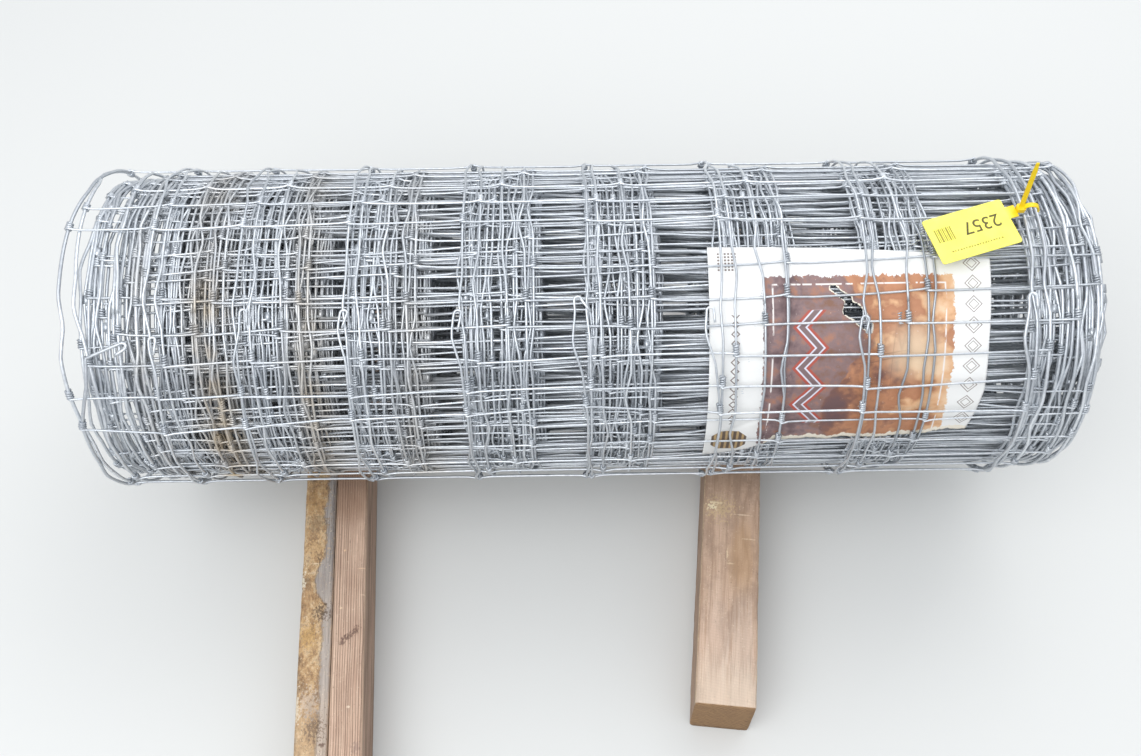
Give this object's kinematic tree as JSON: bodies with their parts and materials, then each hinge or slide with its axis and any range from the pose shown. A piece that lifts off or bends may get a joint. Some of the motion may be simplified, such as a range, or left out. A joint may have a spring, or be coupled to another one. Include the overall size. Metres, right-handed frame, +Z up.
{
  "type": "roll of wire fencing",
  "caption": "Used roll of galvanised woven-wire field fence with graduated mesh, lying on short timber bearers, with a paper label and a yellow lot tag.",
  "frame": {"origin": "on the floor, under the middle of the whole: the roll's axis is 67.4 mm behind it, towards +Y", "axes": "+X along the roll's axis from the close-meshed edge of the fence to the wide-meshed edge, +Y away from the free end of the wire, +Z up"},
  "size_m": [1.088, 0.9278, 0.5298],
  "materials": {
    "galvanised_wire": "satin",
    "label_paper": "matte",
    "tag_plastic": "satin",
    "weathered_board": "matte",
    "sawn_timber": "matte"
  },
  "bodies": {
    "root": {"mesh_roll": "galvanised_wire", "paper_label": "label_paper", "lot_tag": "tag_plastic", "bearer_board_outer": "weathered_board", "bearer_board_inner": "weathered_board", "bearer_timber": "sawn_timber"}
  },
  "joints": []
}
